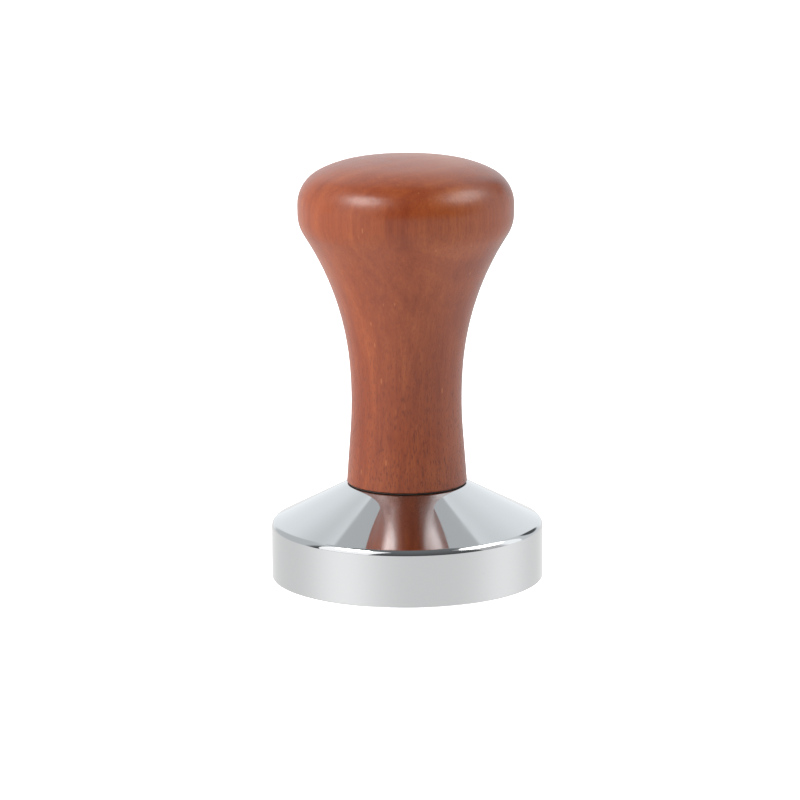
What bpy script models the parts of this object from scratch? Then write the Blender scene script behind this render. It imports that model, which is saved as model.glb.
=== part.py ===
"""Espresso tamper: a solid steel base with a turned wooden handle screwed onto it.

Frame: metres, +Z up, with the origin at the centre of the flat tamping face. The handle turns and
rises on the Z axis, so every object's origin is on it.
"""

import math

import bmesh
import bpy
from mathutils import Matrix, Vector

MM = 0.001

# Base: a wall, a round shoulder tangent to it and to a cone, and the cone's rise to a flat seat.
BASE_RADIUS = 29.0 * MM
BASE_EDGE_BREAK = 0.3 * MM
WALL_TOP = 11.0 * MM
SHOULDER_RADIUS = 1.44 * MM
CONE_TOP_RADIUS = 12.8 * MM
SEAT_HEIGHT = 20.3 * MM
BASE_STEPS = 64
DRILL_STEPS = 32
SHOULDER_STEPS = 5
EDGE_BREAK_STEPS = 2

# Seal ring, laid on the seat and under the handle's foot with a hairline of clearance on each side.
RING_THICKNESS = 0.3 * MM
RING_CLEARANCE = 0.05 * MM
RING_OUTER_RADIUS = 12.5 * MM
RING_INNER_RADIUS = 4.8 * MM

# Handle outline, from the top of the crown down to the foot: tangent arcs and straights.
# An arc is (radius, degrees turned), positive where the outline bulges out.
HANDLE_TOP = 90.5 * MM
CROWN = (75.0 * MM, 9.4)
CROWN_EDGE = (22.0 * MM, 18.2)
SHOULDER = (7.6 * MM, 63.1)
GIRTH_FLAT = 2.0 * MM
UNDER_SHOULDER = (8.0 * MM, 31.0)
UNDER_FLAT = 1.4 * MM
NECK = (61.0 * MM, -26.7)
WAIST = (91.0 * MM, -9.3)
HANDLE_STEPS = 48
FOOT_EDGE_BREAK = 0.15 * MM

# Stud and the metric thread that the base, the stud and the insert share.
STUD_MAJOR_RADIUS = 3.95 * MM
STUD_MINOR_RADIUS = 3.25 * MM
STUD_PITCH = 1.25 * MM
STUD_IN_BASE = 12.5 * MM
STUD_IN_HANDLE = 15.5 * MM
STUD_CHAMFER = 0.8 * MM
STUD_HEX_ACROSS_FLATS = 4.0 * MM
STUD_HEX_DEPTH = 4.0 * MM
THREAD_CLEARANCE = 0.16 * MM
HOLE_SPARE_DEPTH = 1.5 * MM
COUNTERSINK_RADIUS = 4.7 * MM
DRILL_POINT_ANGLE = 118.0

# Threaded insert, with a coarse thread that bites into the wood.
INSERT_MAJOR_RADIUS = 6.3 * MM
INSERT_MINOR_RADIUS = 5.3 * MM
INSERT_PITCH = 2.5 * MM
INSERT_LENGTH = 17.0 * MM
INSERT_RECESS = 0.5 * MM
INSERT_CHAMFER = 0.6 * MM
INSERT_CLEARANCE = 0.1 * MM
INSERT_SLOT_WIDTH = 2.0 * MM
INSERT_SLOT_DEPTH = 2.0 * MM
WOOD_HOLE_SPARE_DEPTH = 1.5 * MM
WOOD_COUNTERSINK_RADIUS = 6.8 * MM

THREAD_STEPS = 16
CREST_SHARE = 0.15
ROOT_SHARE = 0.25
MERGE_DISTANCE = 0.000001
OVERSHOOT = 1.0 * MM
SHARP_ANGLE = 30.0

FOOT_HEIGHT = SEAT_HEIGHT + RING_THICKNESS + 2 * RING_CLEARANCE
STUD_BOTTOM = SEAT_HEIGHT - STUD_IN_BASE
STUD_TOP = FOOT_HEIGHT + STUD_IN_HANDLE
HOLE_BOTTOM = STUD_BOTTOM - HOLE_SPARE_DEPTH
INSERT_BOTTOM = FOOT_HEIGHT + INSERT_RECESS
INSERT_TOP = INSERT_BOTTOM + INSERT_LENGTH
WOOD_HOLE_TOP = INSERT_TOP + WOOD_HOLE_SPARE_DEPTH


def clear_scene():
    for obj in list(bpy.data.objects):
        bpy.data.objects.remove(obj, do_unlink=True)
    for group in list(bpy.data.collections):
        bpy.data.collections.remove(group)


def new_collection(name):
    group = bpy.data.collections.new(name)
    bpy.context.scene.collection.children.link(group)
    return group


def new_object(name, mesh, group):
    obj = bpy.data.objects.new(name, mesh)
    group.objects.link(obj)
    return obj


def give_material(obj, colour, roughness, metallic):
    material = bpy.data.materials.new(obj.name)
    material.use_nodes = True
    shader = material.node_tree.nodes["Principled BSDF"]
    shader.inputs["Base Color"].default_value = (*colour, 1.0)
    shader.inputs["Roughness"].default_value = roughness
    shader.inputs["Metallic"].default_value = metallic
    obj.data.materials.append(material)


def line_mesh(name, points):
    """A mesh of one open line through (radius, height) points, in the XZ plane."""
    mesh = bpy.data.meshes.new(name)
    edges = [(i, i + 1) for i in range(len(points) - 1)]
    mesh.from_pydata([(radius, 0.0, height) for radius, height in points], edges, [])
    return mesh


def turned(name, points, steps, group):
    """A body of revolution about Z, from an outline that runs down its outer side."""
    obj = new_object(name, line_mesh(name, points), group)
    screw = obj.modifiers.new("turn", "SCREW")
    screw.axis = "Z"
    screw.angle = math.tau
    screw.steps = steps
    screw.render_steps = steps
    screw.use_merge_vertices = True
    screw.merge_threshold = MERGE_DISTANCE
    return obj


def threaded(name, major, minor, pitch, low, high, group):
    """A solid rod with a right-hand thread from z = low to z = high.

    Every thread starts on a whole number of pitches from z = 0, so threads of one pitch mesh.
    """
    crest = CREST_SHARE * pitch
    root = ROOT_SHARE * pitch
    flank = (pitch - crest - root) / 2
    first_turn = math.floor(low / pitch) - 2
    turns = math.ceil(high / pitch) + 1 - first_turn
    start = first_turn * pitch
    outline = [
        (minor, start + pitch),
        (minor, start + pitch - root),
        (major, start + pitch - root - flank),
        (major, start + flank),
        (minor, start),
    ]
    obj = new_object(name, line_mesh(name, outline), group)
    screw = obj.modifiers.new("thread", "SCREW")
    screw.axis = "Z"
    screw.angle = math.tau
    screw.screw_offset = pitch
    screw.iterations = turns
    screw.steps = THREAD_STEPS
    screw.render_steps = THREAD_STEPS
    screw.use_merge_vertices = False
    swept = bpy.data.meshes.new_from_object(obj.evaluated_get(bpy.context.evaluated_depsgraph_get()))
    obj.modifiers.clear()
    body = bmesh.new()
    body.from_mesh(swept)
    bmesh.ops.remove_doubles(body, verts=body.verts, dist=MERGE_DISTANCE)
    for height, away in ((low, -1.0), (high, 1.0)):
        bmesh.ops.bisect_plane(
            body,
            geom=body.verts[:] + body.edges[:] + body.faces[:],
            dist=MERGE_DISTANCE,
            plane_co=(0.0, 0.0, height),
            plane_no=(0.0, 0.0, away),
            clear_outer=True,
        )
    bmesh.ops.holes_fill(body, edges=[edge for edge in body.edges if edge.is_boundary])
    bmesh.ops.recalc_face_normals(body, faces=body.faces)
    body.to_mesh(obj.data)
    body.free()
    bpy.data.meshes.remove(swept)
    return obj


def boolean(obj, other, operation):
    modifier = obj.modifiers.new(f"{operation.lower()} {other.name}", "BOOLEAN")
    modifier.operation = operation
    modifier.solver = "EXACT"
    modifier.object = other


def primitive(name, group, create, matrix, **options):
    """A cube or a prism, placed and sized by its matrix."""
    body = bmesh.new()
    create(body, matrix=matrix, **options)
    mesh = bpy.data.meshes.new(name)
    body.to_mesh(mesh)
    body.free()
    return new_object(name, mesh, group)


def corner_arc(centre, radius, start, end, count):
    """Points on an arc, as (radius, height), with angles in degrees above the outward direction."""
    points = []
    for i in range(count + 1):
        angle = math.radians(start + (end - start) * i / count)
        points.append((centre[0] + radius * math.cos(angle), centre[1] + radius * math.sin(angle)))
    return points


def handle_outline():
    """The outline of the wood: each piece leaves the last one on its tangent, then a straight foot."""
    points = [(0.0, HANDLE_TOP)]
    heading = 0.0

    def arc(radius, degrees, count):
        nonlocal heading
        start = Vector(points[-1])
        side = math.copysign(1.0, degrees)
        centre = start + side * radius * Vector((-math.sin(heading), -math.cos(heading)))
        for i in range(1, count + 1):
            turned_by = heading + math.radians(degrees) * i / count
            offset = side * radius * Vector((math.sin(turned_by), math.cos(turned_by)))
            points.append(tuple(centre + offset))
        heading += math.radians(degrees)

    def straight(length):
        step = length * Vector((math.cos(heading), -math.sin(heading)))
        points.append(tuple(Vector(points[-1]) + step))

    arc(*CROWN, count=3)
    arc(*CROWN_EDGE, count=3)
    arc(*SHOULDER, count=7)
    straight(GIRTH_FLAT)
    arc(*UNDER_SHOULDER, count=4)
    straight(UNDER_FLAT)
    arc(*NECK, count=7)
    arc(*WAIST, count=4)
    straight((points[-1][1] - FOOT_HEIGHT - FOOT_EDGE_BREAK) / math.sin(heading))
    points.append((points[-1][0] - FOOT_EDGE_BREAK, FOOT_HEIGHT))
    points.append((0.0, FOOT_HEIGHT))
    return points


def make_base(parts, cutters):
    shoulder_centre = (BASE_RADIUS - SHOULDER_RADIUS, WALL_TOP)
    across = shoulder_centre[0] - CONE_TOP_RADIUS
    drop = SEAT_HEIGHT - WALL_TOP
    cone_slope = math.atan2(drop, across) - math.asin(SHOULDER_RADIUS / math.hypot(across, drop))
    meets_cone = 90.0 - math.degrees(cone_slope)
    edge_centre = (BASE_RADIUS - BASE_EDGE_BREAK, BASE_EDGE_BREAK)
    outline = [(0.0, SEAT_HEIGHT), (CONE_TOP_RADIUS, SEAT_HEIGHT)]
    outline += corner_arc(shoulder_centre, SHOULDER_RADIUS, meets_cone, 0.0, SHOULDER_STEPS)
    outline += corner_arc(edge_centre, BASE_EDGE_BREAK, 0.0, -90.0, EDGE_BREAK_STEPS)
    outline.append((0.0, 0.0))
    base = turned("base", outline, BASE_STEPS, parts)

    drill_radius = STUD_MINOR_RADIUS + THREAD_CLEARANCE / 2
    point_depth = drill_radius / math.tan(math.radians(DRILL_POINT_ANGLE / 2))
    mouth = COUNTERSINK_RADIUS + OVERSHOOT
    drill = [
        (0.0, SEAT_HEIGHT + OVERSHOOT),
        (mouth, SEAT_HEIGHT + OVERSHOOT),
        (drill_radius, SEAT_HEIGHT + OVERSHOOT - (mouth - drill_radius)),
        (drill_radius, HOLE_BOTTOM),
        (0.0, HOLE_BOTTOM - point_depth),
    ]
    boolean(base, turned("base_drill", drill, DRILL_STEPS, cutters), "DIFFERENCE")
    tap = threaded(
        "base_tap",
        STUD_MAJOR_RADIUS + THREAD_CLEARANCE,
        STUD_MINOR_RADIUS + THREAD_CLEARANCE,
        STUD_PITCH,
        HOLE_BOTTOM,
        SEAT_HEIGHT + OVERSHOOT,
        cutters,
    )
    boolean(base, tap, "DIFFERENCE")
    give_material(base, (0.72, 0.72, 0.72), 0.08, 1.0)


def make_seal_ring(parts):
    low = SEAT_HEIGHT + RING_CLEARANCE
    high = low + RING_THICKNESS
    outline = [
        (RING_INNER_RADIUS, high),
        (RING_OUTER_RADIUS, high),
        (RING_OUTER_RADIUS, low),
        (RING_INNER_RADIUS, low),
        (RING_INNER_RADIUS, high),
    ]
    ring = turned("seal_ring", outline, BASE_STEPS, parts)
    weld = ring.modifiers.new("close", "WELD")
    weld.merge_threshold = MERGE_DISTANCE
    give_material(ring, (0.015, 0.014, 0.013), 0.6, 0.0)


def chamfered_rod(name, radius, chamfer, low, high, group):
    outline = [
        (0.0, high),
        (radius - chamfer, high),
        (radius, high - chamfer),
        (radius, low + chamfer),
        (radius - chamfer, low),
        (0.0, low),
    ]
    return turned(name, outline, 2 * THREAD_STEPS, group)


def make_stud(parts, cutters):
    stud = threaded(
        "stud",
        STUD_MAJOR_RADIUS,
        STUD_MINOR_RADIUS,
        STUD_PITCH,
        STUD_BOTTOM,
        STUD_TOP,
        parts,
    )
    ends = chamfered_rod(
        "stud_ends",
        STUD_MAJOR_RADIUS + THREAD_CLEARANCE,
        STUD_CHAMFER,
        STUD_BOTTOM,
        STUD_TOP,
        cutters,
    )
    boolean(stud, ends, "INTERSECT")
    corner_radius = STUD_HEX_ACROSS_FLATS / 2 / math.cos(math.pi / 6)
    socket = primitive(
        "stud_hex_socket",
        cutters,
        bmesh.ops.create_cone,
        Matrix.Translation((0.0, 0.0, STUD_BOTTOM)),
        cap_ends=True,
        segments=6,
        radius1=corner_radius,
        radius2=corner_radius,
        depth=2 * STUD_HEX_DEPTH,
    )
    boolean(stud, socket, "DIFFERENCE")
    give_material(stud, (0.55, 0.55, 0.56), 0.3, 1.0)


def make_threaded_insert(parts, cutters):
    insert = threaded(
        "threaded_insert",
        INSERT_MAJOR_RADIUS,
        INSERT_MINOR_RADIUS,
        INSERT_PITCH,
        INSERT_BOTTOM,
        INSERT_TOP,
        parts,
    )
    ends = chamfered_rod(
        "insert_ends",
        INSERT_MAJOR_RADIUS + INSERT_CLEARANCE,
        INSERT_CHAMFER,
        INSERT_BOTTOM,
        INSERT_TOP,
        cutters,
    )
    boolean(insert, ends, "INTERSECT")
    tap = threaded(
        "insert_tap",
        STUD_MAJOR_RADIUS + THREAD_CLEARANCE,
        STUD_MINOR_RADIUS + THREAD_CLEARANCE,
        STUD_PITCH,
        INSERT_BOTTOM - OVERSHOOT,
        INSERT_TOP + OVERSHOOT,
        cutters,
    )
    boolean(insert, tap, "DIFFERENCE")
    slot_size = (4 * INSERT_MAJOR_RADIUS, INSERT_SLOT_WIDTH, 2 * INSERT_SLOT_DEPTH, 1.0)
    slot = primitive(
        "insert_slot",
        cutters,
        bmesh.ops.create_cube,
        Matrix.Translation((0.0, 0.0, INSERT_BOTTOM)) @ Matrix.Diagonal(slot_size),
        size=1.0,
    )
    boolean(insert, slot, "DIFFERENCE")
    give_material(insert, (0.70, 0.52, 0.25), 0.3, 1.0)


def make_handle(parts, cutters):
    handle = turned("handle", handle_outline(), HANDLE_STEPS, parts)
    pilot_radius = INSERT_MINOR_RADIUS + INSERT_CLEARANCE / 2
    point_depth = pilot_radius / math.tan(math.radians(DRILL_POINT_ANGLE / 2))
    mouth = WOOD_COUNTERSINK_RADIUS + OVERSHOOT
    drill = [
        (0.0, WOOD_HOLE_TOP + point_depth),
        (pilot_radius, WOOD_HOLE_TOP),
        (pilot_radius, FOOT_HEIGHT - OVERSHOOT + (mouth - pilot_radius)),
        (mouth, FOOT_HEIGHT - OVERSHOOT),
        (0.0, FOOT_HEIGHT - OVERSHOOT),
    ]
    boolean(handle, turned("handle_drill", drill, DRILL_STEPS, cutters), "DIFFERENCE")
    tap = threaded(
        "handle_tap",
        INSERT_MAJOR_RADIUS + INSERT_CLEARANCE,
        INSERT_MINOR_RADIUS + INSERT_CLEARANCE,
        INSERT_PITCH,
        FOOT_HEIGHT - OVERSHOOT,
        WOOD_HOLE_TOP,
        cutters,
    )
    boolean(handle, tap, "DIFFERENCE")
    give_material(handle, (0.30, 0.085, 0.04), 0.35, 0.0)


def finish(obj):
    """Applies the piece's modifiers, and shades its round faces smooth between its sharp edges."""
    graph = bpy.context.evaluated_depsgraph_get()
    mesh = bpy.data.meshes.new_from_object(obj.evaluated_get(graph))
    mesh.name = obj.name
    obj.modifiers.clear()
    obj.data = mesh
    mesh.shade_smooth()
    mesh.set_sharp_from_angle(angle=math.radians(SHARP_ANGLE))


def make_tamper():
    clear_scene()
    parts = new_collection("espresso_tamper")
    cutters = new_collection("cutters")
    make_base(parts, cutters)
    make_seal_ring(parts)
    make_handle(parts, cutters)
    make_threaded_insert(parts, cutters)
    make_stud(parts, cutters)
    for cutter in cutters.objects:
        cutter.hide_render = True
        cutter.display_type = "WIRE"
    for piece in parts.objects:
        finish(piece)
    parts.objects["seal_ring"].parent = parts.objects["base"]
    parts.objects["threaded_insert"].parent = parts.objects["handle"]
    parts.objects["stud"].parent = parts.objects["handle"]


make_tamper()
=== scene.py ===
import math

import bmesh
import bpy
from mathutils import Matrix, Vector


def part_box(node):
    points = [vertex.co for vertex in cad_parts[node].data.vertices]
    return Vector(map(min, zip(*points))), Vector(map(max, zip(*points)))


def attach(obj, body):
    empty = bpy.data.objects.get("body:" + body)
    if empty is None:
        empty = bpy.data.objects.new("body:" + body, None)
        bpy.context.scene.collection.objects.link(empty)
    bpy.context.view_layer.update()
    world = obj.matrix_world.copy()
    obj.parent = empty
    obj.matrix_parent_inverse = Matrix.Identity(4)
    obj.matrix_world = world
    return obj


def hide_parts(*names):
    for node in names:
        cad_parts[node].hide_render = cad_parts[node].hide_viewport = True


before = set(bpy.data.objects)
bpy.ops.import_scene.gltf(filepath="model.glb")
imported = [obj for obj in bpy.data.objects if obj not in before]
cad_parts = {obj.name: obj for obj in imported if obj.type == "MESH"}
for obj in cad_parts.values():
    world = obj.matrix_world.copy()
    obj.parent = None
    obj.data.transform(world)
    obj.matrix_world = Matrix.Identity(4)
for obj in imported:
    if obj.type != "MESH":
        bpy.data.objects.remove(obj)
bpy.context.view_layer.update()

# Base
# The heavy foot that presses the coffee, turned from one bar of stainless steel: a straight wall,
# a round shoulder that runs into a cone, and a flat seat on top. The seat is drilled, countersunk
# and tapped for the stud, and the outside is buffed to a mirror.
MM = 0.001
HAIR = 0.001 * MM

BASE_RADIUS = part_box("base")[1].x
SEAT_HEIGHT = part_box("base")[1].z
WALL_TOP = 11.0 * MM
SHOULDER_RADIUS = 1.44 * MM
SEAT_RADIUS = 12.8 * MM
BASE_EDGE_BREAK = 0.3 * MM
SEAT_EDGE_BREAK = 0.06 * MM
BASE_FACETS = 256
SHOULDER_SEGMENTS = 16
EDGE_BREAK_SEGMENTS = 4
SEAT_EDGE_SEGMENTS = 3
CRISP_ANGLE = math.radians(20)

STUD_MAJOR_RADIUS = 3.95 * MM
STUD_MINOR_RADIUS = 3.25 * MM
STUD_PITCH = 1.25 * MM
THREAD_CLEARANCE = 0.16 * MM
CREST_SHARE = 0.15
ROOT_SHARE = 0.25
THREAD_FACETS = 40
HOLE_SPARE_DEPTH = 1.5 * MM
HOLE_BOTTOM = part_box("stud")[0].z - HOLE_SPARE_DEPTH
COUNTERSINK_RADIUS = 4.7 * MM
OVERSHOOT = 1.0 * MM
DRILL_POINT = math.radians(118 / 2)
DRILL_FACETS = 96

STEEL_COLOUR = (0.55, 0.555, 0.56, 1)
PIT_COLOUR = (0.30, 0.30, 0.31, 1)
TOOL_MARK_DEPTH = 0.02 * MM


def only(piece):
    """Selects one piece and nothing else."""
    bpy.ops.object.select_all(action="DESELECT")
    piece.select_set(True)
    bpy.context.view_layer.objects.active = piece


def edit(piece):
    only(piece)
    bpy.ops.object.mode_set(mode="EDIT")
    bpy.ops.mesh.select_mode(type="VERT")


def named(name):
    """Names the new piece, and puts its place into its mesh."""
    piece = bpy.context.object
    piece.name = name
    piece.data.name = name
    only(piece)
    bpy.ops.object.transform_apply(location=True, rotation=True, scale=True)
    return piece


def pick(test):
    """In edit mode, selects the corners whose place passes the test."""
    bpy.ops.mesh.select_all(action="DESELECT")
    mesh = bpy.context.edit_object.data
    shape = bmesh.from_edit_mesh(mesh)
    for corner in shape.verts:
        corner.select_set(test(corner.co))
    shape.select_flush(True)
    bmesh.update_edit_mesh(mesh)


def pick_level(height):
    pick(lambda place: abs(place.z - height) < HAIR)


def draw_line(name, points):
    """An open line through (radius, height) points, drawn by pulling one corner along them."""
    radius, height = points[0]
    bpy.ops.mesh.primitive_plane_add(size=MM, location=(radius, 0, height))
    line = named(name)
    edit(line)
    bpy.ops.mesh.select_all(action="SELECT")
    bpy.ops.mesh.merge(type="CENTER")
    for (radius, height), (next_radius, next_height) in zip(points, points[1:]):
        step = (next_radius - radius, 0, next_height - height)
        bpy.ops.mesh.extrude_region_move(TRANSFORM_OT_translate={"value": step})
    bpy.ops.object.mode_set(mode="OBJECT")
    return line


def turn(name, points, facets):
    """A piece turned on the lathe from an outline of (radius, height) points."""
    piece = draw_line(name, points)
    edit(piece)
    bpy.ops.mesh.select_all(action="SELECT")
    bpy.ops.mesh.spin(steps=facets, angle=math.tau, center=(0, 0, 0), axis=(0, 0, 1))
    bpy.ops.mesh.select_all(action="SELECT")
    bpy.ops.mesh.remove_doubles(threshold=HAIR)
    bpy.ops.mesh.normals_make_consistent(inside=False)
    bpy.ops.object.mode_set(mode="OBJECT")
    return piece


def apply_modifier(piece, kind, **settings):
    modifier = piece.modifiers.new(kind.lower(), kind)
    for setting, value in settings.items():
        setattr(modifier, setting, value)
    only(piece)
    bpy.ops.object.modifier_apply(modifier=modifier.name)


def carve(piece, tool, operation="DIFFERENCE"):
    """Cuts a piece with a tool, and puts the tool away."""
    apply_modifier(piece, "BOOLEAN", operation=operation, solver="EXACT", object=tool)
    bpy.data.objects.remove(tool, do_unlink=True)


def cut_thread(name, major, minor, pitch, low, high):
    """A right-handed screw from low to high. Equal pitches mesh, as each starts at the same turn."""
    crest = CREST_SHARE * pitch
    root = ROOT_SHARE * pitch
    flank = (pitch - crest - root) / 2
    first_turn = math.floor(low / pitch) - 2
    turns = math.ceil(high / pitch) + 1 - first_turn
    start = first_turn * pitch
    tooth = [
        (minor, start + pitch),
        (minor, start + pitch - root),
        (major, start + pitch - root - flank),
        (major, start + flank),
        (minor, start),
    ]
    screw = draw_line(name, tooth)
    apply_modifier(
        screw,
        "SCREW",
        screw_offset=pitch,
        iterations=turns,
        steps=THREAD_FACETS,
        render_steps=THREAD_FACETS,
        use_merge_vertices=False,
    )
    edit(screw)
    bpy.ops.mesh.select_all(action="SELECT")
    bpy.ops.mesh.remove_doubles(threshold=HAIR)
    for height, away in ((low, -1), (high, 1)):
        bpy.ops.mesh.select_all(action="SELECT")
        bpy.ops.mesh.bisect(
            plane_co=(0, 0, height), plane_no=(0, 0, away), use_fill=True, clear_outer=True
        )
    bpy.ops.mesh.select_all(action="SELECT")
    bpy.ops.mesh.normals_make_consistent(inside=False)
    bpy.ops.object.mode_set(mode="OBJECT")
    return screw


def smooth(piece):
    """Shades round faces smooth and turned corners crisp, with no shade drawn across a flat."""
    only(piece)
    bpy.ops.object.shade_smooth_by_angle(angle=CRISP_ANGLE)
    apply_modifier(piece, "WEIGHTED_NORMAL", keep_sharp=True)


# The wall and the cone are modelled to the corner where they would meet, and the shoulder is then
# rolled over that corner, tangent to both.
cone_reach = BASE_RADIUS - SHOULDER_RADIUS - SEAT_RADIUS
cone_drop = SEAT_HEIGHT - WALL_TOP
cone_length = math.hypot(cone_reach, cone_drop)
cone_slope = math.atan2(cone_drop, cone_reach) - math.asin(SHOULDER_RADIUS / cone_length)
shoulder_reach = SHOULDER_RADIUS * math.tan((math.pi / 2 - cone_slope) / 2)
corner_height = WALL_TOP + shoulder_reach
bpy.ops.mesh.primitive_cylinder_add(
    vertices=BASE_FACETS,
    radius=BASE_RADIUS,
    depth=corner_height,
    location=(0, 0, corner_height / 2),
)
base = named("polished_base")
edit(base)
pick_level(corner_height)
cone_rise = SEAT_HEIGHT - corner_height
narrowing = SEAT_RADIUS / BASE_RADIUS
bpy.ops.mesh.extrude_region_move(TRANSFORM_OT_translate={"value": (0, 0, cone_rise)})
bpy.ops.transform.resize(value=(narrowing, narrowing, 1), center_override=(0, 0, SEAT_HEIGHT))
pick_level(corner_height)
bpy.ops.mesh.bevel(offset=shoulder_reach, segments=SHOULDER_SEGMENTS, profile=0.5, affect="EDGES")
pick_level(0)
bpy.ops.mesh.bevel(offset=BASE_EDGE_BREAK, segments=EDGE_BREAK_SEGMENTS, profile=0.5, affect="EDGES")
pick_level(SEAT_HEIGHT)
bpy.ops.mesh.bevel(offset=SEAT_EDGE_BREAK, segments=SEAT_EDGE_SEGMENTS, profile=0.5, affect="EDGES")
bpy.ops.object.mode_set(mode="OBJECT")

drill_radius = STUD_MINOR_RADIUS + THREAD_CLEARANCE / 2
mouth_radius = COUNTERSINK_RADIUS + OVERSHOOT
drill_outline = [
    (0, HOLE_BOTTOM - drill_radius / math.tan(DRILL_POINT)),
    (drill_radius, HOLE_BOTTOM),
    (drill_radius, SEAT_HEIGHT + OVERSHOOT - (mouth_radius - drill_radius)),
    (mouth_radius, SEAT_HEIGHT + OVERSHOOT),
    (0, SEAT_HEIGHT + OVERSHOOT),
]
carve(base, turn("drill", drill_outline, DRILL_FACETS))
base_tap = cut_thread(
    "base_tap",
    STUD_MAJOR_RADIUS + THREAD_CLEARANCE,
    STUD_MINOR_RADIUS + THREAD_CLEARANCE,
    STUD_PITCH,
    HOLE_BOTTOM,
    SEAT_HEIGHT + OVERSHOOT,
)
carve(base, base_tap)
smooth(base)


class Wire:
    """A shader socket that can be used in sums, and adds a Math node for each."""

    def __init__(self, finish, socket):
        self.finish = finish
        self.socket = socket

    def maths(self, operation, first, second):
        return self.finish.node("Math", {"operation": operation}, {0: first, 1: second})

    def __add__(self, other):
        return self.maths("ADD", self, other)

    def __sub__(self, other):
        return self.maths("SUBTRACT", self, other)

    def __rsub__(self, other):
        return self.maths("SUBTRACT", other, self)

    def __mul__(self, other):
        return self.maths("MULTIPLY", self, other)

    def __truediv__(self, other):
        return self.maths("DIVIDE", self, other)

    def __pow__(self, other):
        return self.maths("POWER", self, other)

    __radd__ = __add__
    __rmul__ = __mul__


class Finish:
    """The shader of one material, or of the light around the object."""

    def __init__(self, owner):
        owner.use_nodes = True
        self.tree = owner.node_tree
        self.tree.nodes.clear()

    def node(self, kind, settings=None, inputs=None, output=0):
        """A node with its settings set first, then its sockets' values and links."""
        node = self.tree.nodes.new("ShaderNode" + kind)
        settings = dict(settings or {})
        stops = settings.pop("stops", ())
        for setting, value in settings.items():
            setattr(node, setting, value)
        for number, (position, colour) in enumerate(stops):
            ramp = node.color_ramp.elements
            stop = ramp[number] if number < len(ramp) else ramp.new(position)
            stop.position = position
            stop.color = colour
        for socket, value in (inputs or {}).items():
            if isinstance(value, Wire):
                self.tree.links.new(value.socket, node.inputs[socket])
            else:
                node.inputs[socket].default_value = value
        if len(node.outputs):
            return Wire(self, node.outputs[output])

    def place(self, per_mm, turned=(0, 0, 0), moved=(0, 0, 0)):
        """The piece's own coordinates, with this many pattern lengths to a millimetre."""
        here = self.node("TexCoord", output="Object")
        scale = [count / MM for count in per_mm]
        spot = {"Vector": here, "Rotation": turned, "Scale": scale, "Location": moved}
        return self.node("Mapping", {}, spot)

    def noise(self, per_mm, detail=2, roughness=0.5, distortion=0, **spot):
        inputs = {"Vector": self.place(per_mm, **spot), "Scale": 1, "Detail": detail}
        inputs |= {"Roughness": roughness, "Distortion": distortion}
        return self.node("TexNoise", {}, inputs)

    def rise(self, value, low, high):
        """0 up to low, 1 from high, and an even curve between."""
        ends = {"Value": value, "From Min": low, "From Max": high}
        return self.node("MapRange", {"interpolation_type": "SMOOTHSTEP"}, ends)

    def blend(self, share, first, second, how="MIX"):
        """Two colours mixed, with this share of the second."""
        settings = {"data_type": "RGBA", "blend_type": how}
        return self.node("Mix", settings, {0: share, 6: first, 7: second}, 2)

    def bump(self, height, strength, depth):
        return self.node("Bump", {}, {"Strength": strength, "Distance": depth, "Height": height})

    def surface(self, **inputs):
        """Finishes the material with a Principled surface."""
        sockets = {name.replace("_", " "): value for name, value in inputs.items()}
        shader = self.node("BsdfPrincipled", {}, sockets)
        self.node("OutputMaterial", {}, {"Surface": shader})


def painted(piece, name):
    """A new material on the piece, ready for its shader."""
    material = bpy.data.materials.new(name)
    piece.data.materials.clear()
    piece.data.materials.append(material)
    return Finish(material)


steel = painted(base, "buffed_steel")
smudges = steel.noise((0.11, 0.11, 0.16), detail=4, roughness=0.6)
haze = steel.noise((0.7, 0.7, 0.9), detail=3)
grit = steel.node("TexVoronoi", {}, {"Vector": steel.place((0.62, 0.62, 0.62)), "Scale": 1})
grit_pick = steel.node("TexVoronoi", {}, {"Vector": steel.place((0.62, 0.62, 0.62)), "Scale": 1}, "Color")
chosen = steel.rise(steel.node("SeparateColor", {}, {0: grit_pick}), 0.62, 0.66)
speck = (1 - steel.rise(grit, 0.04, 0.08)) * chosen
buffing = steel.noise((0.25, 0.25, 5.5), detail=3)
steel.surface(
    Base_Color=steel.blend(speck * 0.3, STEEL_COLOUR, PIT_COLOUR),
    Metallic=1.0,
    Roughness=0.03 + steel.rise(smudges, 0.42, 0.8) * 0.06 + haze * 0.02 + speck * 0.3,
    Normal=steel.bump(buffing, 0.01, TOOL_MARK_DEPTH),
)
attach(base, "base")
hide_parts("base")


# Stud
# A headless M8 screw that joins the base to the handle. It is cut from steel rod, chamfered at
# both ends, and has a hex socket in the end that turns into the base.
STUD_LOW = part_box("stud")[0].z
STUD_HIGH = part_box("stud")[1].z
STUD_CHAMFER = 0.8 * MM
HEX_ACROSS_FLATS = 4.0 * MM
HEX_DEPTH = 4.0 * MM
SCREW_STEEL_COLOUR = (0.50, 0.50, 0.51, 1)
OILED_STEEL_COLOUR = (0.34, 0.335, 0.33, 1)


def rod(name, radius, chamfer, low, high):
    """A plain rod with a chamfer at both ends."""
    bpy.ops.mesh.primitive_cylinder_add(
        vertices=2 * THREAD_FACETS, radius=radius, depth=high - low, location=(0, 0, (low + high) / 2)
    )
    piece = named(name)
    edit(piece)
    for height in (low, high):
        pick_level(height)
        bpy.ops.mesh.bevel(offset=chamfer, segments=1, affect="EDGES")
    bpy.ops.object.mode_set(mode="OBJECT")
    return piece


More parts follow.
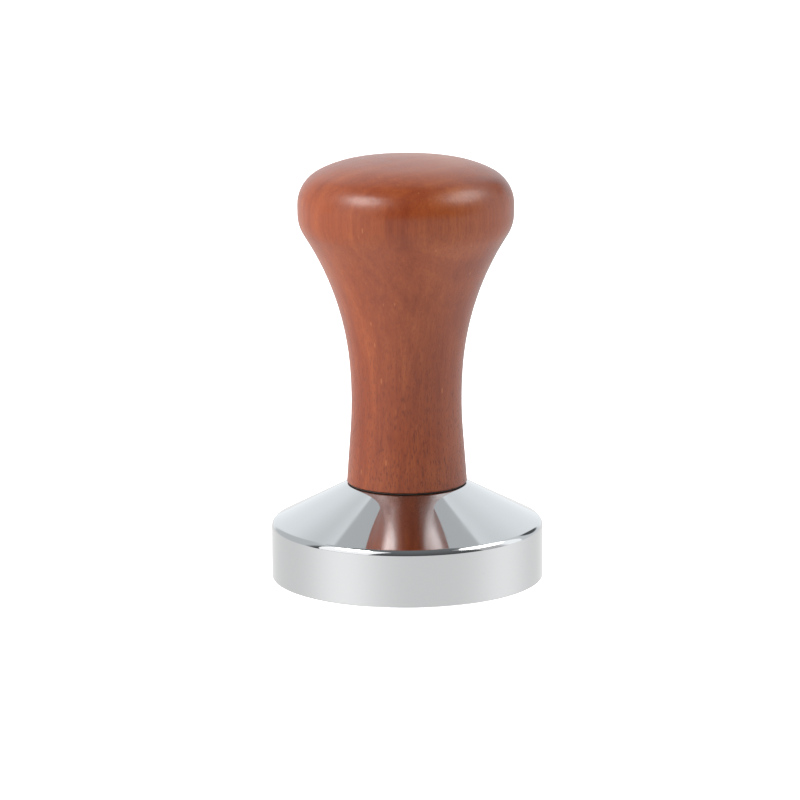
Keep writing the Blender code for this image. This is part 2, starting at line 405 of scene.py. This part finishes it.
stud = cut_thread("grub_stud", STUD_MAJOR_RADIUS, STUD_MINOR_RADIUS, STUD_PITCH, STUD_LOW, STUD_HIGH)
carve(
    stud,
    rod("stud_ends", STUD_MAJOR_RADIUS + THREAD_CLEARANCE, STUD_CHAMFER, STUD_LOW, STUD_HIGH),
    "INTERSECT",
)
corner_radius = HEX_ACROSS_FLATS / 2 / math.cos(math.pi / 6)
bpy.ops.mesh.primitive_cylinder_add(
    vertices=6, radius=corner_radius, depth=2 * HEX_DEPTH, location=(0, 0, STUD_LOW)
)
hex_key = named("hex_key")
edit(hex_key)
pick_level(STUD_LOW + HEX_DEPTH)
bpy.ops.mesh.extrude_region_move(TRANSFORM_OT_translate={"value": (0, 0, corner_radius / 3)})
bpy.ops.mesh.merge(type="CENTER")
bpy.ops.object.mode_set(mode="OBJECT")
carve(stud, hex_key)
smooth(stud)

screw_steel = painted(stud, "machined_steel")
oil = screw_steel.noise((0.5, 0.5, 0.35), detail=4, roughness=0.6)
tool_lines = screw_steel.noise((1.2, 1.2, 14), detail=2)
screw_steel.surface(
    Base_Color=screw_steel.blend(screw_steel.rise(oil, 0.42, 0.68), SCREW_STEEL_COLOUR, OILED_STEEL_COLOUR),
    Metallic=1.0,
    Roughness=0.24 + tool_lines * 0.16,
    Normal=screw_steel.bump(tool_lines, 0.15, TOOL_MARK_DEPTH),
)
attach(stud, "handle")
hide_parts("stud")


# Seal ring
# A thin black rubber washer, punched from sheet, with its edges rounded by the pinch of the joint.
# It lies on the seat under the wood, and shows as the dark line between the two.
RING_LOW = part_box("seal_ring")[0].z
RING_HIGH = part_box("seal_ring")[1].z
RING_OUTER_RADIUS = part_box("seal_ring")[1].x
RING_INNER_RADIUS = 4.8 * MM
RING_FACETS = 192
RING_EDGE_STEPS = 10
RUBBER_COLOUR = (0.030, 0.020, 0.016, 1)
DUSTY_RUBBER_COLOUR = (0.070, 0.052, 0.044, 1)


def arc_points(centre, radius, start, end, count):
    """Points on an arc, as (radius, height), at angles in degrees above the outward direction."""
    points = []
    for i in range(count + 1):
        angle = math.radians(start + (end - start) * i / count)
        points.append((centre[0] + radius * math.cos(angle), centre[1] + radius * math.sin(angle)))
    return points


ring_round = (RING_HIGH - RING_LOW) / 2
ring_middle = (RING_LOW + RING_HIGH) / 2
outer_centre = (RING_OUTER_RADIUS - ring_round, ring_middle)
inner_centre = (RING_INNER_RADIUS + ring_round, ring_middle)
ring_outline = arc_points(outer_centre, ring_round, -90, 90, RING_EDGE_STEPS)
ring_outline += arc_points(inner_centre, ring_round, 90, 270, RING_EDGE_STEPS)
ring = turn("rubber_ring", ring_outline + ring_outline[:1], RING_FACETS)
smooth(ring)

rubber = painted(ring, "black_rubber")
dust = rubber.noise((1.6, 1.6, 1.6), detail=5, roughness=0.65)
rubber.surface(
    Base_Color=rubber.blend(rubber.rise(dust, 0.5, 0.75), RUBBER_COLOUR, DUSTY_RUBBER_COLOUR),
    Roughness=0.5 + dust * 0.25,
    Normal=rubber.bump(dust, 0.3, 0.03 * MM),
)
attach(ring, "seal_ring")
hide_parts("seal_ring")


# Threaded insert
# A brass bush screwed into the end grain of the handle: a coarse thread outside that bites the
# wood, the stud's thread inside, and a slot across its lower end for the driver.
INSERT_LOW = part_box("threaded_insert")[0].z
INSERT_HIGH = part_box("threaded_insert")[1].z
INSERT_MAJOR_RADIUS = 6.3 * MM
INSERT_MINOR_RADIUS = 5.3 * MM
INSERT_PITCH = 2.5 * MM
INSERT_CHAMFER = 0.6 * MM
INSERT_CLEARANCE = 0.1 * MM
SLOT_WIDTH = 2.0 * MM
SLOT_DEPTH = 2.0 * MM
BRASS_COLOUR = (0.72, 0.50, 0.22, 1)
DULL_BRASS_COLOUR = (0.42, 0.26, 0.11, 1)

insert = cut_thread(
    "brass_insert", INSERT_MAJOR_RADIUS, INSERT_MINOR_RADIUS, INSERT_PITCH, INSERT_LOW, INSERT_HIGH
)
carve(
    insert,
    rod("insert_ends", INSERT_MAJOR_RADIUS + INSERT_CLEARANCE, INSERT_CHAMFER, INSERT_LOW, INSERT_HIGH),
    "INTERSECT",
)
insert_tap = cut_thread(
    "insert_tap",
    STUD_MAJOR_RADIUS + THREAD_CLEARANCE,
    STUD_MINOR_RADIUS + THREAD_CLEARANCE,
    STUD_PITCH,
    INSERT_LOW - OVERSHOOT,
    INSERT_HIGH + OVERSHOOT,
)
carve(insert, insert_tap)
bpy.ops.mesh.primitive_cube_add(
    size=1,
    location=(0, 0, INSERT_LOW),
    scale=(4 * INSERT_MAJOR_RADIUS, SLOT_WIDTH, 2 * SLOT_DEPTH),
)
carve(insert, named("slot_saw"))
smooth(insert)

brass = painted(insert, "machined_brass")
tarnish = brass.noise((0.45, 0.45, 0.45), detail=5, roughness=0.6)
brass_lines = brass.noise((1.2, 1.2, 11), detail=2)
brass.surface(
    Base_Color=brass.blend(brass.rise(tarnish, 0.45, 0.72), BRASS_COLOUR, DULL_BRASS_COLOUR),
    Metallic=1.0,
    Roughness=0.22 + brass_lines * 0.18,
    Normal=brass.bump(brass_lines, 0.15, TOOL_MARK_DEPTH),
)
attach(insert, "handle")
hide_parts("threaded_insert")


# Handle
# One piece of beech turned with its grain upright: a waisted neck that swells into a broad knob
# with a domed crown. It is stained red-brown, lacquered to a satin shine, and bored from below.
FOOT_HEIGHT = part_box("handle")[0].z
HANDLE_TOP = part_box("handle")[1].z
# The outline from the crown down: arcs of (radius, degrees turned), plus where it bulges out.
CROWN = (75.0 * MM, 9.4)
CROWN_EDGE = (22.0 * MM, 18.2)
KNOB_SHOULDER = (7.6 * MM, 63.1)
GIRTH_FLAT = 2.0 * MM
UNDER_SHOULDER = (8.0 * MM, 31.0)
UNDER_FLAT = 1.4 * MM
NECK = (61.0 * MM, -26.7)
WAIST = (91.0 * MM, -9.3)
FOOT_EDGE_BREAK = 0.15 * MM
HANDLE_FACETS = 180
FACET_LENGTH = 0.7 * MM
WOOD_HOLE_TOP = INSERT_HIGH + HOLE_SPARE_DEPTH
WOOD_MOUTH_RADIUS = 6.8 * MM

DEEP_STAIN = (0.145, 0.024, 0.005, 1)
STAIN = (0.190, 0.038, 0.008, 1)
WARM_STAIN = (0.245, 0.062, 0.013, 1)
PORE_COLOUR = (0.085, 0.015, 0.005, 1)
FLECK_COLOUR = (0.33, 0.115, 0.038, 1)


class Outline:
    """A turned outline, down from the middle of the crown, each piece on the last one's tangent."""

    def __init__(self, height):
        self.points = [Vector((0, height))]
        self.heading = 0.0

    def arc(self, radius, degrees):
        side = math.copysign(1, degrees)
        turning = math.radians(degrees)
        start = self.points[-1]
        centre = start - side * radius * Vector((math.sin(self.heading), math.cos(self.heading)))
        count = max(4, math.ceil(radius * abs(turning) / FACET_LENGTH))
        for i in range(1, count + 1):
            heading = self.heading + turning * i / count
            self.points.append(centre + side * radius * Vector((math.sin(heading), math.cos(heading))))
        self.heading += turning

    def straight(self, length):
        count = math.ceil(length / FACET_LENGTH)
        step = length / count * Vector((math.cos(self.heading), -math.sin(self.heading)))
        for _ in range(count):
            self.points.append(self.points[-1] + step)


outline = Outline(HANDLE_TOP)
outline.arc(*CROWN)
outline.arc(*CROWN_EDGE)
outline.arc(*KNOB_SHOULDER)
outline.straight(GIRTH_FLAT)
outline.arc(*UNDER_SHOULDER)
outline.straight(UNDER_FLAT)
outline.arc(*NECK)
outline.arc(*WAIST)
outline.straight((outline.points[-1].y - FOOT_HEIGHT - FOOT_EDGE_BREAK) / math.sin(outline.heading))
foot_radius = outline.points[-1].x - FOOT_EDGE_BREAK
outline.points += [Vector((foot_radius, FOOT_HEIGHT)), Vector((0, FOOT_HEIGHT))]
handle = turn("turned_handle", outline.points, HANDLE_FACETS)

pilot_radius = INSERT_MINOR_RADIUS + INSERT_CLEARANCE / 2
wood_mouth = WOOD_MOUTH_RADIUS + OVERSHOOT
bore_outline = [
    (0, FOOT_HEIGHT - OVERSHOOT),
    (wood_mouth, FOOT_HEIGHT - OVERSHOOT),
    (pilot_radius, FOOT_HEIGHT - OVERSHOOT + (wood_mouth - pilot_radius)),
    (pilot_radius, WOOD_HOLE_TOP),
    (0, WOOD_HOLE_TOP + pilot_radius / math.tan(DRILL_POINT)),
]
carve(handle, turn("wood_drill", bore_outline, DRILL_FACETS))
wood_tap = cut_thread(
    "wood_tap",
    INSERT_MAJOR_RADIUS + INSERT_CLEARANCE,
    INSERT_MINOR_RADIUS + INSERT_CLEARANCE,
    INSERT_PITCH,
    FOOT_HEIGHT - OVERSHOOT,
    WOOD_HOLE_TOP,
)
carve(handle, wood_tap)
smooth(handle)

# The tree's middle lies off to the back left, so its growth bands cross the handle as soft arcs.
wood = painted(handle, "stained_beech")
PITH = (34.0, -46.0, 0.0)
wander = wood.noise((0.03, 0.03, 0.012), detail=2) * 9
from_pith = wood.node(
    "VectorMath", {"operation": "LENGTH"}, {0: wood.place((1, 1, 0), moved=PITH)}, "Value"
)
band = wood.node(
    "TexNoise",
    {"noise_dimensions": "1D"},
    {"W": (from_pith + wander) * 0.42, "Scale": 1, "Detail": 3},
)
streak = wood.noise((0.55, 0.55, 0.028), detail=4, roughness=0.55)
fine_streak = wood.noise((2.2, 2.2, 0.12), detail=3)
blotch = wood.noise((0.055, 0.055, 0.035), detail=3, moved=(3.1, 1.7, 0.4))
tone = band * 0.16 + streak * 0.22 + fine_streak * 0.16 + blotch * 0.46
colour = wood.node(
    "ValToRGB",
    {"stops": [(0.42, DEEP_STAIN), (0.54, STAIN), (0.68, WARM_STAIN)]},
    {0: tone},
)

# Pores are short dark dashes along the grain, and ray flecks are shorter and paler.
height = wood.node("SeparateXYZ", {}, {0: wood.place((1, 1, 1))}, 2)
low_down = 1 - wood.rise(height, 30, 62)
pores = wood.noise((4.6, 4.6, 0.75), detail=2, roughness=0.6, moved=(0.3, 0.9, 0.1))
pore = wood.rise(pores, 0.53, 0.63) * (0.26 + low_down * 0.50)
flecks = wood.noise((2.6, 2.6, 0.30), detail=2, moved=(7.3, 2.9, 4.1))
fleck = wood.rise(flecks, 0.64, 0.78) * 0.20
nicks = wood.node("TexVoronoi", {}, {"Vector": wood.place((0.36, 0.36, 0.11)), "Scale": 1})
nick = (1 - wood.rise(nicks, 0.05, 0.09)) * 0.35
colour = wood.blend(fleck, colour, FLECK_COLOUR)
colour = wood.blend(pore, colour, PORE_COLOUR)
colour = wood.blend(nick, colour, FLECK_COLOUR)
orange_peel = wood.noise((1.1, 1.1, 0.7), detail=2)
relief = orange_peel * 0.6 + fine_streak * 0.5 - pore * 0.8
wood.surface(
    Base_Color=colour,
    Roughness=0.26 + streak * 0.12 + pore * 0.15,
    IOR=1.44,
    Normal=wood.bump(relief, 0.40, 0.05 * MM),
)
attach(handle, "handle")
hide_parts("handle")


# Table
# A wide white table top that glows softly from the light under and around it, so the tamper
# stands on it without a shadow.
TABLE_WIDTH = 12.0
TABLE_GLOW = 1.0
TABLE_DROP = 0.05 * MM
TABLE_CUTS = 8

bpy.ops.mesh.primitive_plane_add(size=TABLE_WIDTH, location=(0, 0, -TABLE_DROP))
table = named("table_top")
edit(table)
bpy.ops.mesh.select_all(action="SELECT")
bpy.ops.mesh.subdivide(number_cuts=TABLE_CUTS)
bpy.ops.object.mode_set(mode="OBJECT")
table.visible_glossy = False
white_top = painted(table, "white_top")
white_top.surface(
    Base_Color=(0.6, 0.6, 0.6, 1),
    Roughness=0.9,
    Emission_Color=(1, 1, 1, 1),
    Emission_Strength=TABLE_GLOW,
)


# Light tent
# White cloth all round: a bright sweep behind, a dimmer roof above it, grey sides, a dark opening
# in front for the camera, the lit table below, a tall softbox to each side, and a card on the left.
SWEEP_LIGHT = 1.18
ROOF_LIGHT = 0.71
ZENITH_LIGHT = 0.25
FRONT_LIGHT = 0.08
FRONT_CLIMB = 0.17
LEFT_LIGHT = 0.80
RIGHT_LIGHT = 0.95
TABLE_LIGHT = 1.0
SWEEP_TOP = 0.80
ROOF_END = 0.92
TENT_TINT = (0.955, 1.0, 1.03, 1)
# Where one cloth gives way to the next, as shares of the way up, to the right or to the back.
HORIZON = (-0.01, 0.01)
SWEEP_EDGE = (SWEEP_TOP - 0.01, SWEEP_TOP + 0.01)
ROOF_EDGE = (ROOF_END - 0.03, ROOF_END + 0.03)
LEFT_TO_RIGHT = (-0.3, 0.3)
FRONT_TO_SIDE = (-0.10, 0.12)
SIDE_TO_BACK = (0.82, 0.92)
SIDES_TOP = (0.70, 0.85)
# The table's bright patches: compass angle from the front, plus to the right, strength, tightness.
BRIGHT_PATCHES = ((-56, 0.42, 5.6), (90, 0.33, 6.8))
# A dark gap between the cloths, behind on the right: compass angle, height angle, edge and light.
GAP_COMPASS = math.radians(141)
GAP_RISE = math.radians(22)
GAP_EDGE = (math.cos(math.radians(14)), math.cos(math.radians(8)))
GAP_LIGHT = 0.12
# The softboxes: compass angle, height angle, width, height and radiance. A core is the bright
# middle of a box, where its lamp stands close behind the cloth. The card fills the left side, and
# is left out of reflections.
SOFTBOXES = {
    "softbox_left": (-55, 29, 0.84, 1.00, 1.5),
    "softbox_left_core": (-59, 47, 0.44, 0.36, 11.0),
    "softbox_right": (88, 29, 0.84, 1.00, 0.6),
    "softbox_right_core": (86, 46, 0.66, 0.42, 4.4),
    "card_left": (-92, 14, 0.90, 0.90, 4.0),
}
SOFTBOX_DISTANCE = 0.9
CORE_DISTANCE = 0.88
LIT_POINT = Vector((0, 0, 0.05))


def toward(compass, rise):
    """The direction at this compass angle from the front, and this angle above the horizon."""
    return Vector((
        math.sin(compass) * math.cos(rise),
        -math.cos(compass) * math.cos(rise),
        math.sin(rise),
    ))


tent = bpy.data.worlds.new("light_tent")
bpy.context.scene.world = tent
cloth = Finish(tent)
direction = cloth.node("TexCoord", output="Generated")
rightward = cloth.node("SeparateXYZ", {}, {0: direction}, 0)
back = cloth.node("SeparateXYZ", {}, {0: direction}, 1)
up = cloth.node("SeparateXYZ", {}, {0: direction}, 2)
level = (rightward * rightward + back * back + HAIR) ** 0.5
below = TABLE_LIGHT
for compass, strength, tightness in BRIGHT_PATCHES:
    angle = math.radians(compass)
    facing = (rightward * math.sin(angle) - back * math.cos(angle)) / level
    facing = cloth.node("Math", {"operation": "MAXIMUM"}, {0: facing, 1: 0.0})
    below = below + facing ** tightness * strength
to_right = rightward / level
to_back = back / level
front = FRONT_LIGHT + up * FRONT_CLIMB
side = LEFT_LIGHT + cloth.rise(to_right, *LEFT_TO_RIGHT) * (RIGHT_LIGHT - LEFT_LIGHT)
roof = 1 - cloth.rise(up, *ROOF_EDGE)
sweep = 1 - cloth.rise(up, *SWEEP_EDGE)
behind = ZENITH_LIGHT + roof * (ROOF_LIGHT - ZENITH_LIGHT) + sweep * (SWEEP_LIGHT - ROOF_LIGHT)
past_front = cloth.rise(to_back, *FRONT_TO_SIDE)
past_side = cloth.rise(to_back, *SIDE_TO_BACK)
low_sides = 1 - cloth.rise(up, *SIDES_TOP)
sides = side * low_sides + behind * (1 - low_sides)
above = front * (1 - past_front) + (sides * (1 - past_side) + behind * past_side) * past_front
gap = toward(GAP_COMPASS, GAP_RISE)
near_gap = rightward * gap.x + back * gap.y + up * gap.z
in_gap = cloth.rise(near_gap, *GAP_EDGE)
above = above * (1 - in_gap) + GAP_LIGHT * in_gap
is_up = cloth.rise(up, *HORIZON)
light = below * (1 - is_up) + above * is_up
straight_on = cloth.node("LightPath", output="Is Camera Ray")
tinted = is_up * (1 - straight_on)
glow = cloth.node(
    "Background",
    {},
    {
        "Color": cloth.blend(tinted, (1, 1, 1, 1), TENT_TINT),
        "Strength": light * (1 - straight_on) + straight_on,
    },
)
cloth.node("OutputWorld", {}, {"Surface": glow})

for name, (compass, rise, width, length, radiance) in SOFTBOXES.items():
    lamp = bpy.data.lights.new(name, "AREA")
    lamp.shape = "ELLIPSE" if name.endswith("core") else "RECTANGLE"
    lamp.size = width
    lamp.size_y = length
    lamp.energy = radiance * math.pi * width * length
    softbox = bpy.data.objects.new(name, lamp)
    bpy.context.scene.collection.objects.link(softbox)
    away = toward(math.radians(compass), math.radians(rise))
    distance = CORE_DISTANCE if name.endswith("core") else SOFTBOX_DISTANCE
    softbox.location = LIT_POINT + distance * away
    softbox.rotation_euler = away.to_track_quat("Z", "Y").to_euler()
    softbox.visible_camera = False
    softbox.visible_glossy = not name.startswith("card")


# Camera
# A long lens at arm's length, a little above the knob and looking slightly down.
CAMERA_PLACE = Vector((0, -1.0, 0.2527))
CAMERA_TURN = math.radians(0.081)
CAMERA_DIP = math.radians(12.107)
CAMERA_ROLL = math.radians(-0.28)

camera_data = bpy.data.cameras.new("camera")
camera_data.lens = 216.3
camera_data.sensor_width = 36.0
camera_data.clip_start = 0.01
camera = bpy.data.objects.new("camera", camera_data)
bpy.context.scene.collection.objects.link(camera)
camera.matrix_world = (
    Matrix.Translation(CAMERA_PLACE)
    @ Matrix.Rotation(CAMERA_TURN, 4, "Z")
    @ Matrix.Rotation(math.pi / 2 - CAMERA_DIP, 4, "X")
    @ Matrix.Rotation(CAMERA_ROLL, 4, "Z")
)
bpy.context.scene.camera = camera
bpy.context.scene.view_settings.view_transform = "Standard"
